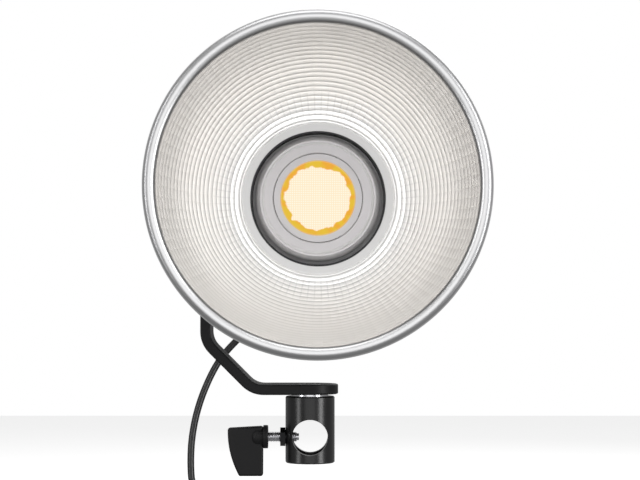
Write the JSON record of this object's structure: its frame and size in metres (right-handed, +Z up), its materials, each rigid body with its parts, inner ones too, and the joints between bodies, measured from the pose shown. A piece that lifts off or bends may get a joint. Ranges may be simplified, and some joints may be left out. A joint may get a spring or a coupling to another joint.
{
  "type": "studio spotlight",
  "caption": "LED studio light with a ringed bowl reflector on a one-sided tilt bracket with a stud socket and paddle clamp knob.",
  "frame": {"origin": "centre of the stand socket's bottom mouth", "axes": "+Z up the socket's bore, the lamp shines along -Y, the tilt axis lies along X"},
  "size_m": [0.176, 0.3106, 0.363],
  "materials": {
    "black_coat": "fine satin black powder coat",
    "black_tube": "satin black anodised tube",
    "steel": "bright zinc-plated steel",
    "dark_steel": "black oxide steel",
    "knob_plastic": "fine-grained moulded black plastic",
    "reflector": "bright stepped and faceted aluminium",
    "nose": "satin light grey",
    "phosphor": "lit warm white phosphor",
    "ceramic": "white ceramic board",
    "sink": "black anodised aluminium",
    "housing": "satin black",
    "rear_plastic": "fine-grained moulded black plastic",
    "rubber": "soft black rubber",
    "board": "green circuit board",
    "component": "electronic components",
    "window": "dark glossy display window",
    "cord": "glossy black cable jacket",
    "fibre": "friction fibre"
  },
  "bodies": {
    "yoke": {"socket": "black_tube", "socket_washer": "steel", "socket_bolt": "dark_steel", "clamp_nut": "dark_steel", "bracket": "black_coat", "cord_lead": "cord", "cord_coil": "cord", "coil_tie": "fibre", "cord_tail": "cord", "far_relief": "rubber", "far_plug": "rear_plastic"},
    "head": {"tilt_boss": "housing", "tilt_friction_washer": "fibre", "tilt_block": "steel", "mount_ring": "housing", "mount_screws": "dark_steel", "nose_ring": "nose", "cob_holder": "nose", "cob_emitter": "phosphor", "cob_board": "ceramic", "heat_sink": "sink", "fan_frame": "rear_plastic", "fan_screws": "steel", "front_housing": "housing", "rear_housing": "rear_plastic", "housing_seam": "rubber", "driver_board": "board", "driver_screws": "steel", "driver_capacitors": "component", "driver_inductors": "component", "control_board": "board", "control_spacers": "component", "rear_panel": "rear_plastic", "panel_screws": "dark_steel", "display_window": "window", "display_module": "component", "encoder": "component", "button_switches": "component", "switch_frame": "rear_plastic", "power_inlet": "dark_steel", "plug_shell": "rear_plastic", "plug_ring": "dark_steel", "cord_relief": "rubber"},
    "clamp_pad": {"clamp_tip": "steel"},
    "clamp_grip": {"clamp_screw": "steel", "clamp_knob": "knob_plastic"},
    "tilt_slide": {"tilt_washer": "steel"},
    "tilt_grip": {"tilt_stud": "steel", "tilt_knob": "knob_plastic"},
    "reflector": {"reflector_bowl": "reflector", "reflector_collar": "sink"},
    "lock": {"lock_button": "knob_plastic"},
    "fan": {"fan_rotor": "rear_plastic"},
    "dial": {"dial": "knob_plastic"},
    "button_left": {"button_left": "rubber"},
    "button_right": {"button_right": "rubber"},
    "power_rocker": {"power_rocker": "rear_plastic"}
  },
  "joints": [
    {"name": "head_tilt", "type": "hinge", "parent": "yoke", "child": "head", "pos_m": [0.004, 0, 0.129], "axis": [1, 0, 0], "range_deg": [-40, 40], "deforming": ["cord_lead"]},
    {"name": "clamp_travel", "type": "slide", "parent": "yoke", "child": "clamp_pad", "axis": [1, 0, 0], "range_m": [-0.0024, 0.0056]},
    {"name": "clamp_turn", "type": "hinge", "parent": "clamp_pad", "child": "clamp_grip", "pos_m": [-0.0209, 0, 0.01275], "axis": [1, 0, 0], "range_deg": [-1080, 2520]},
    {"name": "tilt_travel", "type": "slide", "parent": "head", "child": "tilt_slide", "axis": [-1, 0, 0], "range_m": [0, 0.0025]},
    {"name": "tilt_turn", "type": "hinge", "parent": "tilt_slide", "child": "tilt_grip", "pos_m": [-0.0558, 0, 0.129], "axis": [-1, 0, 0], "range_deg": [0, 720]},
    {"name": "reflector_twist", "type": "hinge", "parent": "head", "child": "reflector", "pos_m": [0.004, -0.04, 0.129], "axis": [0, 1, 0], "range_deg": [-25, 0]},
    {"name": "lock_lift", "type": "slide", "parent": "head", "child": "lock", "axis": [0, 0, 1], "range_m": [0, 0.003], "stiffness_N_per_m": 300, "springref_m": -0.002},
    {"name": "fan_spin", "type": "hinge", "parent": "head", "child": "fan", "pos_m": [0.004, 0.012, 0.129], "axis": [0, 1, 0], "continuous": true},
    {"name": "dial_turn", "type": "hinge", "parent": "head", "child": "dial", "pos_m": [0.018, 0.09, 0.113], "axis": [0, 1, 0], "continuous": true},
    {"name": "button_left_press", "type": "slide", "parent": "head", "child": "button_left", "axis": [0, -1, 0], "range_m": [0, 0.0008], "stiffness_N_per_m": 800, "springref_m": -0.0008},
    {"name": "button_right_press", "type": "slide", "parent": "head", "child": "button_right", "axis": [0, -1, 0], "range_m": [0, 0.0008], "stiffness_N_per_m": 800, "springref_m": -0.0008},
    {"name": "power_rock", "type": "hinge", "parent": "head", "child": "power_rocker", "pos_m": [-0.02, 0.0865, 0.119], "axis": [1, 0, 0], "range_deg": [0, 14]}
  ],
  "couplings": [
    {"joint": "clamp_turn", "follows": "clamp_travel", "rad_per_m": 7854},
    {"joint": "tilt_turn", "follows": "tilt_travel", "rad_per_m": 5026.5}
  ]
}
